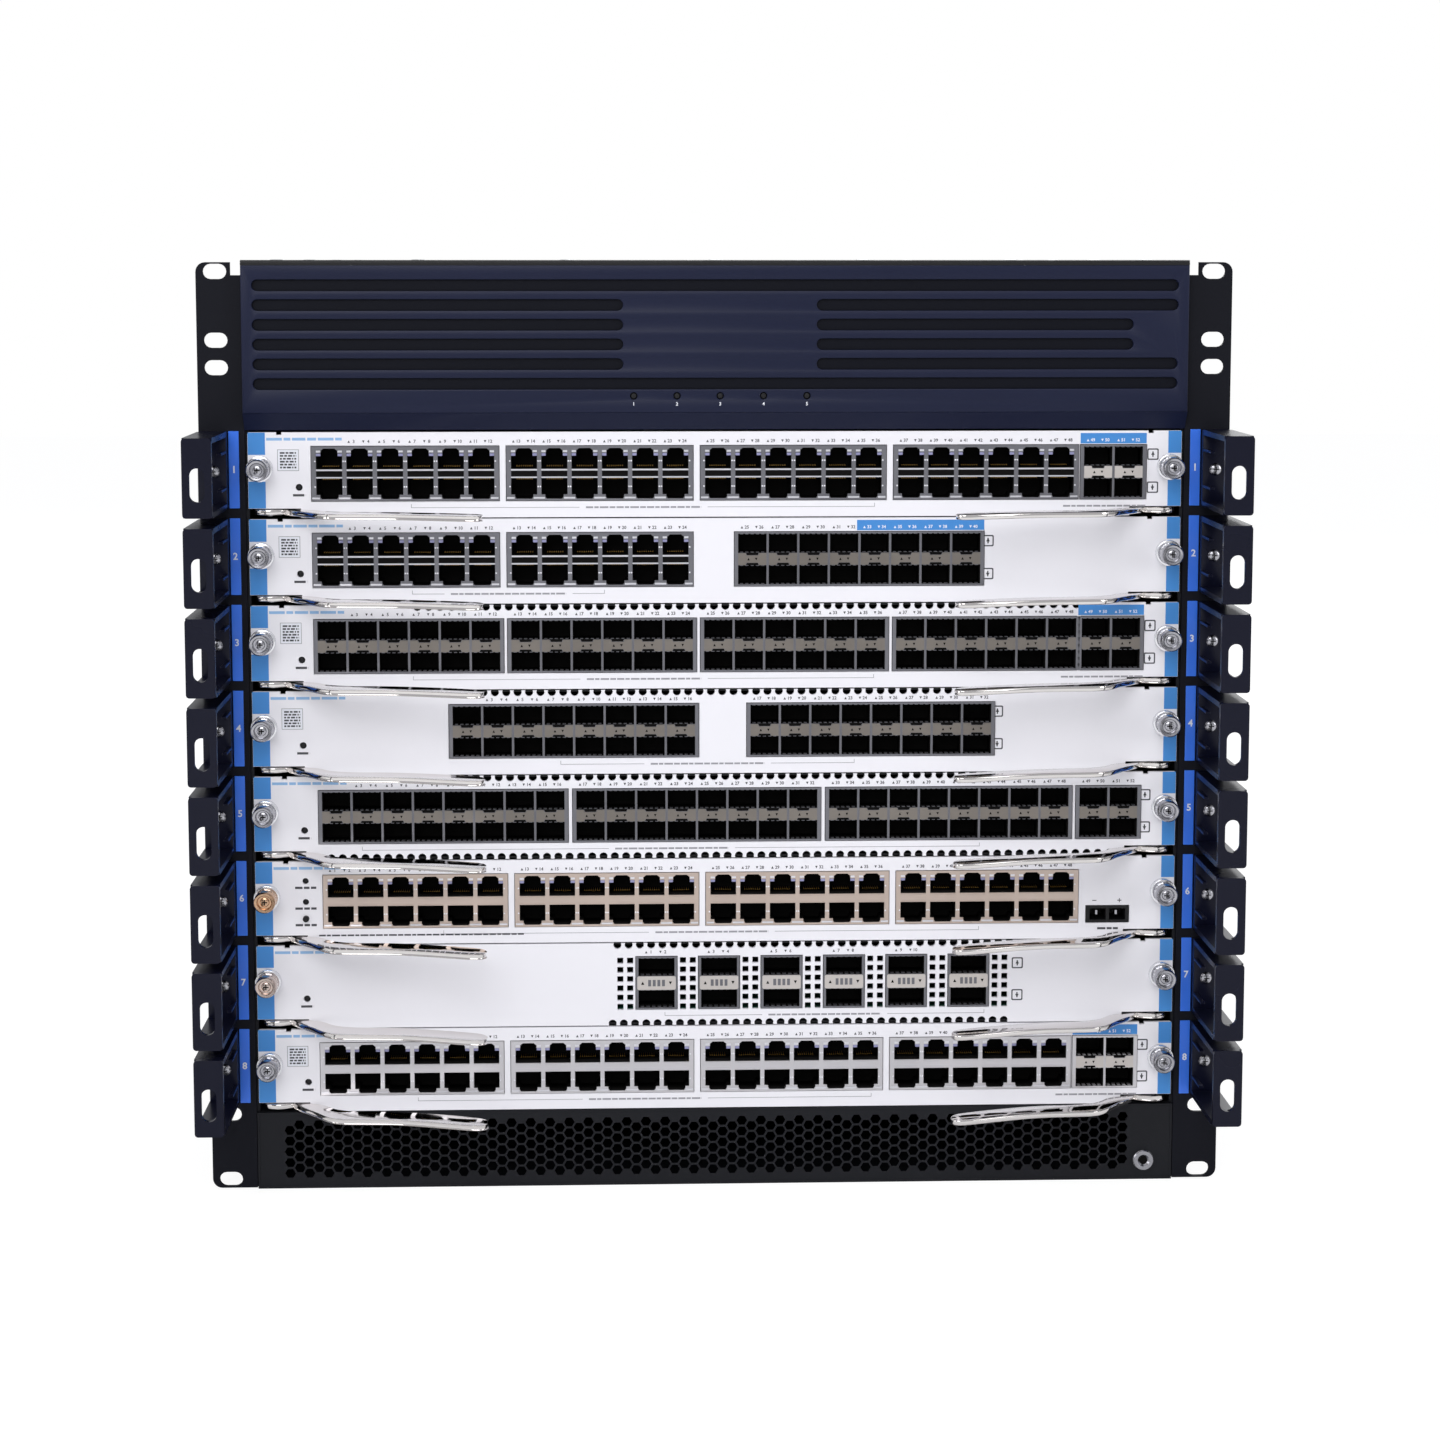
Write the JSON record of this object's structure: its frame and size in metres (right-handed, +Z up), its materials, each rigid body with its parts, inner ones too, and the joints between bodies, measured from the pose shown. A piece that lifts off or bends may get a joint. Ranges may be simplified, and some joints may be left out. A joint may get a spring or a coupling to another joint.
{
  "type": "modular chassis switch",
  "caption": "Tall rack chassis with slide-in network line cards, port cages, turning thumbscrews, swinging ejector levers, cable loops at both sides, a grooved top bezel and an intake grille.",
  "frame": {"origin": "on the underside, at mid width, in the plane where the ears meet a rack's posts", "axes": "+X to the right seen from the front, +Y towards the back, +Z up"},
  "size_m": [0.4826, 0.596, 0.442],
  "materials": {
    "black_steel": "satin powder coat",
    "grey_steel": "zinc plated",
    "navy_plastic": "satin",
    "black_plastic": "moulded",
    "light_plastic": "moulded",
    "white_panel": "smooth paint",
    "cage_metal": "tinned",
    "bright_metal": "polished",
    "nickel": "nickel plated",
    "board": "solder mask"
  },
  "bodies": {
    "chassis": {"chassis_shell": "black_steel", "rack_ears": "black_steel", "top_bezel": "navy_plastic", "intake_grille": "black_steel", "esd_jack": "nickel", "cable_guides_left": "navy_plastic", "cable_guides_right": "navy_plastic", "backplane": "board", "fan_tray": "grey_steel", "power_supplies": "grey_steel"},
    "card_1": {"card_panel_1": "white_panel", "card_board_1": "cage_metal"},
    "lever_left_1": {"lever_left_1": "bright_metal"},
    "thumbscrew_left_1": {"thumbscrew_left_1": "nickel"},
    "lever_right_1": {"lever_right_1": "bright_metal"},
    "thumbscrew_right_1": {"thumbscrew_right_1": "nickel"},
    "card_2": {"card_panel_2": "white_panel", "card_board_2": "cage_metal"},
    "lever_left_2": {"lever_left_2": "bright_metal"},
    "thumbscrew_left_2": {"thumbscrew_left_2": "nickel"},
    "lever_right_2": {"lever_right_2": "bright_metal"},
    "thumbscrew_right_2": {"thumbscrew_right_2": "nickel"},
    "card_3": {"card_panel_3": "white_panel", "card_board_3": "cage_metal"},
    "lever_left_3": {"lever_left_3": "bright_metal"},
    "thumbscrew_left_3": {"thumbscrew_left_3": "nickel"},
    "lever_right_3": {"lever_right_3": "bright_metal"},
    "thumbscrew_right_3": {"thumbscrew_right_3": "nickel"},
    "card_4": {"card_panel_4": "white_panel", "card_board_4": "cage_metal"},
    "lever_left_4": {"lever_left_4": "bright_metal"},
    "thumbscrew_left_4": {"thumbscrew_left_4": "nickel"},
    "lever_right_4": {"lever_right_4": "bright_metal"},
    "thumbscrew_right_4": {"thumbscrew_right_4": "nickel"},
    "card_5": {"card_panel_5": "white_panel", "card_board_5": "cage_metal"},
    "lever_left_5": {"lever_left_5": "bright_metal"},
    "thumbscrew_left_5": {"thumbscrew_left_5": "nickel"},
    "lever_right_5": {"lever_right_5": "bright_metal"},
    "thumbscrew_right_5": {"thumbscrew_right_5": "nickel"},
    "card_6": {"card_panel_6": "white_panel", "card_board_6": "cage_metal"},
    "lever_left_6": {"lever_left_6": "bright_metal"},
    "thumbscrew_left_6": {"thumbscrew_left_6": "nickel"},
    "lever_right_6": {"lever_right_6": "bright_metal"},
    "thumbscrew_right_6": {"thumbscrew_right_6": "nickel"},
    "card_7": {"card_panel_7": "white_panel", "card_board_7": "cage_metal"},
    "lever_left_7": {"lever_left_7": "bright_metal"},
    "thumbscrew_left_7": {"thumbscrew_left_7": "nickel"},
    "lever_right_7": {"lever_right_7": "bright_metal"},
    "thumbscrew_right_7": {"thumbscrew_right_7": "nickel"},
    "card_8": {"card_panel_8": "white_panel", "card_board_8": "cage_metal"},
    "lever_left_8": {"lever_left_8": "bright_metal"},
    "thumbscrew_left_8": {"thumbscrew_left_8": "nickel"},
    "lever_right_8": {"lever_right_8": "bright_metal"},
    "thumbscrew_right_8": {"thumbscrew_right_8": "nickel"},
    "mode_button": {"mode_button": "light_plastic"},
    "fan_rotor": {"fan_rotor": "black_plastic"}
  },
  "joints": [
    {"name": "card_1_slide", "type": "slide", "parent": "chassis", "child": "card_1", "axis": [0, -1, 0], "range_m": [0, 0.4]},
    {"name": "lever_left_1_turn", "type": "hinge", "parent": "card_1", "child": "lever_left_1", "pos_m": [-0.2095, 0.0045, 0.32493], "axis": [0, 0, -1], "range_deg": [0, 60]},
    {"name": "thumbscrew_left_1_turn", "type": "hinge", "parent": "card_1", "child": "thumbscrew_left_1", "pos_m": [-0.2131, -0.008, 0.34528], "axis": [0, -1, 0], "continuous": true},
    {"name": "lever_right_1_turn", "type": "hinge", "parent": "card_1", "child": "lever_right_1", "pos_m": [0.2095, 0.0045, 0.32493], "axis": [0, 0, 1], "range_deg": [0, 60]},
    {"name": "thumbscrew_right_1_turn", "type": "hinge", "parent": "card_1", "child": "thumbscrew_right_1", "pos_m": [0.2131, -0.008, 0.34528], "axis": [0, -1, 0], "continuous": true},
    {"name": "card_2_slide", "type": "slide", "parent": "chassis", "child": "card_2", "axis": [0, -1, 0], "range_m": [0, 0.4]},
    {"name": "lever_left_2_turn", "type": "hinge", "parent": "card_2", "child": "lever_left_2", "pos_m": [-0.2095, 0.0045, 0.28429], "axis": [0, 0, -1], "range_deg": [0, 60]},
    {"name": "thumbscrew_left_2_turn", "type": "hinge", "parent": "card_2", "child": "thumbscrew_left_2", "pos_m": [-0.2131, -0.008, 0.30464], "axis": [0, -1, 0], "continuous": true},
    {"name": "lever_right_2_turn", "type": "hinge", "parent": "card_2", "child": "lever_right_2", "pos_m": [0.2095, 0.0045, 0.28429], "axis": [0, 0, 1], "range_deg": [0, 60]},
    {"name": "thumbscrew_right_2_turn", "type": "hinge", "parent": "card_2", "child": "thumbscrew_right_2", "pos_m": [0.2131, -0.008, 0.30464], "axis": [0, -1, 0], "continuous": true},
    {"name": "card_3_slide", "type": "slide", "parent": "chassis", "child": "card_3", "axis": [0, -1, 0], "range_m": [0, 0.4]},
    {"name": "lever_left_3_turn", "type": "hinge", "parent": "card_3", "child": "lever_left_3", "pos_m": [-0.2095, 0.0045, 0.24365], "axis": [0, 0, -1], "range_deg": [0, 60]},
    {"name": "thumbscrew_left_3_turn", "type": "hinge", "parent": "card_3", "child": "thumbscrew_left_3", "pos_m": [-0.2131, -0.008, 0.264], "axis": [0, -1, 0], "continuous": true},
    {"name": "lever_right_3_turn", "type": "hinge", "parent": "card_3", "child": "lever_right_3", "pos_m": [0.2095, 0.0045, 0.24365], "axis": [0, 0, 1], "range_deg": [0, 60]},
    {"name": "thumbscrew_right_3_turn", "type": "hinge", "parent": "card_3", "child": "thumbscrew_right_3", "pos_m": [0.2131, -0.008, 0.264], "axis": [0, -1, 0], "continuous": true},
    {"name": "card_4_slide", "type": "slide", "parent": "chassis", "child": "card_4", "axis": [0, -1, 0], "range_m": [0, 0.4]},
    {"name": "lever_left_4_turn", "type": "hinge", "parent": "card_4", "child": "lever_left_4", "pos_m": [-0.2095, 0.0045, 0.20301], "axis": [0, 0, -1], "range_deg": [0, 60]},
    {"name": "thumbscrew_left_4_turn", "type": "hinge", "parent": "card_4", "child": "thumbscrew_left_4", "pos_m": [-0.2131, -0.008, 0.22336], "axis": [0, -1, 0], "continuous": true},
    {"name": "lever_right_4_turn", "type": "hinge", "parent": "card_4", "child": "lever_right_4", "pos_m": [0.2095, 0.0045, 0.20301], "axis": [0, 0, 1], "range_deg": [0, 60]},
    {"name": "thumbscrew_right_4_turn", "type": "hinge", "parent": "card_4", "child": "thumbscrew_right_4", "pos_m": [0.2131, -0.008, 0.22336], "axis": [0, -1, 0], "continuous": true},
    {"name": "card_5_slide", "type": "slide", "parent": "chassis", "child": "card_5", "axis": [0, -1, 0], "range_m": [0, 0.4]},
    {"name": "lever_left_5_turn", "type": "hinge", "parent": "card_5", "child": "lever_left_5", "pos_m": [-0.2095, 0.0045, 0.16237], "axis": [0, 0, -1], "range_deg": [0, 60]},
    {"name": "thumbscrew_left_5_turn", "type": "hinge", "parent": "card_5", "child": "thumbscrew_left_5", "pos_m": [-0.2131, -0.008, 0.18272], "axis": [0, -1, 0], "continuous": true},
    {"name": "lever_right_5_turn", "type": "hinge", "parent": "card_5", "child": "lever_right_5", "pos_m": [0.2095, 0.0045, 0.16237], "axis": [0, 0, 1], "range_deg": [0, 60]},
    {"name": "thumbscrew_right_5_turn", "type": "hinge", "parent": "card_5", "child": "thumbscrew_right_5", "pos_m": [0.2131, -0.008, 0.18272], "axis": [0, -1, 0], "continuous": true},
    {"name": "card_6_slide", "type": "slide", "parent": "chassis", "child": "card_6", "axis": [0, -1, 0], "range_m": [0, 0.4]},
    {"name": "lever_left_6_turn", "type": "hinge", "parent": "card_6", "child": "lever_left_6", "pos_m": [-0.2095, 0.0045, 0.12173], "axis": [0, 0, -1], "range_deg": [0, 60]},
    {"name": "thumbscrew_left_6_turn", "type": "hinge", "parent": "card_6", "child": "thumbscrew_left_6", "pos_m": [-0.2131, -0.008, 0.14208], "axis": [0, -1, 0], "continuous": true},
    {"name": "lever_right_6_turn", "type": "hinge", "parent": "card_6", "child": "lever_right_6", "pos_m": [0.2095, 0.0045, 0.12173], "axis": [0, 0, 1], "range_deg": [0, 60]},
    {"name": "thumbscrew_right_6_turn", "type": "hinge", "parent": "card_6", "child": "thumbscrew_right_6", "pos_m": [0.2131, -0.008, 0.14208], "axis": [0, -1, 0], "continuous": true},
    {"name": "card_7_slide", "type": "slide", "parent": "chassis", "child": "card_7", "axis": [0, -1, 0], "range_m": [0, 0.4]},
    {"name": "lever_left_7_turn", "type": "hinge", "parent": "card_7", "child": "lever_left_7", "pos_m": [-0.2095, 0.0045, 0.08109], "axis": [0, 0, -1], "range_deg": [0, 60]},
    {"name": "thumbscrew_left_7_turn", "type": "hinge", "parent": "card_7", "child": "thumbscrew_left_7", "pos_m": [-0.2131, -0.008, 0.10144], "axis": [0, -1, 0], "continuous": true},
    {"name": "lever_right_7_turn", "type": "hinge", "parent": "card_7", "child": "lever_right_7", "pos_m": [0.2095, 0.0045, 0.08109], "axis": [0, 0, 1], "range_deg": [0, 60]},
    {"name": "thumbscrew_right_7_turn", "type": "hinge", "parent": "card_7", "child": "thumbscrew_right_7", "pos_m": [0.2131, -0.008, 0.10144], "axis": [0, -1, 0], "continuous": true},
    {"name": "card_8_slide", "type": "slide", "parent": "chassis", "child": "card_8", "axis": [0, -1, 0], "range_m": [0, 0.4]},
    {"name": "lever_left_8_turn", "type": "hinge", "parent": "card_8", "child": "lever_left_8", "pos_m": [-0.2095, 0.0045, 0.04045], "axis": [0, 0, -1], "range_deg": [0, 60]},
    {"name": "thumbscrew_left_8_turn", "type": "hinge", "parent": "card_8", "child": "thumbscrew_left_8", "pos_m": [-0.2131, -0.008, 0.0608], "axis": [0, -1, 0], "continuous": true},
    {"name": "lever_right_8_turn", "type": "hinge", "parent": "card_8", "child": "lever_right_8", "pos_m": [0.2095, 0.0045, 0.04045], "axis": [0, 0, 1], "range_deg": [0, 60]},
    {"name": "thumbscrew_right_8_turn", "type": "hinge", "parent": "card_8", "child": "thumbscrew_right_8", "pos_m": [0.2131, -0.008, 0.0608], "axis": [0, -1, 0], "continuous": true},
    {"name": "mode_button_press", "type": "slide", "parent": "card_6", "child": "mode_button", "axis": [0, 1, 0], "range_m": [0, 0.001], "stiffness_N_per_m": 400, "springref_m": -0.001},
    {"name": "fan_rotor_spin", "type": "hinge", "parent": "chassis", "child": "fan_rotor", "pos_m": [0, 0.48, 0.265], "axis": [0, 1, 0], "continuous": true}
  ]
}
